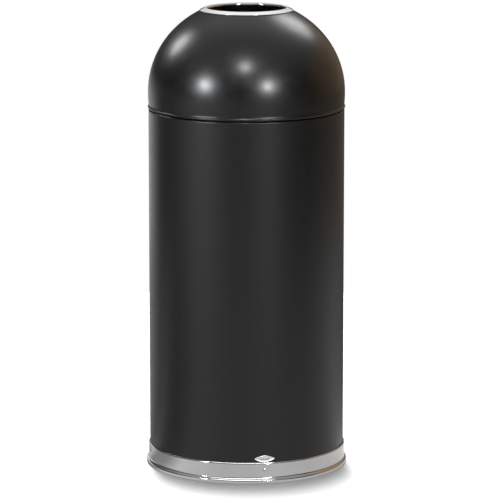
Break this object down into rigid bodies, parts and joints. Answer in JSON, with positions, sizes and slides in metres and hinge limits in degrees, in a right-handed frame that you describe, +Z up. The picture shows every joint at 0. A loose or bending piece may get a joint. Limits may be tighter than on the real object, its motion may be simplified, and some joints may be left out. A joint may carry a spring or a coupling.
{
  "type": "dome top litter bin",
  "caption": "Tall round steel litter bin with a lift-off dome, a ringed top opening, a bright base band and a galvanised liner.",
  "frame": {"origin": "on the floor, at the centre of the bin's foot", "axes": "+Z up along the bin's axis, -Y towards the front, where the badge is a little towards +X"},
  "size_m": [0.3842, 0.3842, 0.8762],
  "materials": {
    "black_paint": "satin powder coat",
    "band_steel": "bright, lightly brushed",
    "bright_chrome": "polished",
    "plain_steel": "plain zinc plated",
    "galvanised": "hot-dip galvanised, spangled",
    "black_vinyl": "matt vinyl"
  },
  "bodies": {
    "body": {"body_shell": "black_paint", "base_pan": "black_paint", "base_band": "band_steel", "floor_ring": "black_vinyl", "badge_plate": "bright_chrome", "badge_pin_left": "bright_chrome", "badge_pin_right": "bright_chrome", "band_rivet_front": "plain_steel", "band_rivet_right": "plain_steel", "band_rivet_back": "plain_steel", "band_rivet_left": "plain_steel"},
    "liner": {"liner_shell": "galvanised", "rim_wire": "plain_steel", "liner_bottom": "galvanised", "handle_bracket_left": "galvanised", "handle_bracket_right": "galvanised", "bracket_rivet_left_a": "plain_steel", "bracket_rivet_left_b": "plain_steel", "bracket_rivet_right_a": "plain_steel", "bracket_rivet_right_b": "plain_steel"},
    "dome": {"dome_shell": "black_paint", "dome_collar": "black_paint", "opening_ring": "bright_chrome", "ring_retainer": "plain_steel"},
    "left_handle": {"handle_left": "plain_steel"},
    "right_handle": {"handle_right": "plain_steel"}
  },
  "joints": [
    {"name": "liner_lift", "type": "slide", "parent": "body", "child": "liner", "axis": [0, 0, 1], "range_m": [0, 0.7]},
    {"name": "dome_lift", "type": "slide", "parent": "liner", "child": "dome", "axis": [0, 0, 1], "range_m": [0, 0.3]},
    {"name": "left_handle_swing", "type": "hinge", "parent": "liner", "child": "left_handle", "pos_m": [-0.15, 0, 0.612], "axis": [0, -1, 0], "range_deg": [-6, 190]},
    {"name": "right_handle_swing", "type": "hinge", "parent": "liner", "child": "right_handle", "pos_m": [0.15, 0, 0.612], "axis": [0, 1, 0], "range_deg": [-6, 190]}
  ]
}
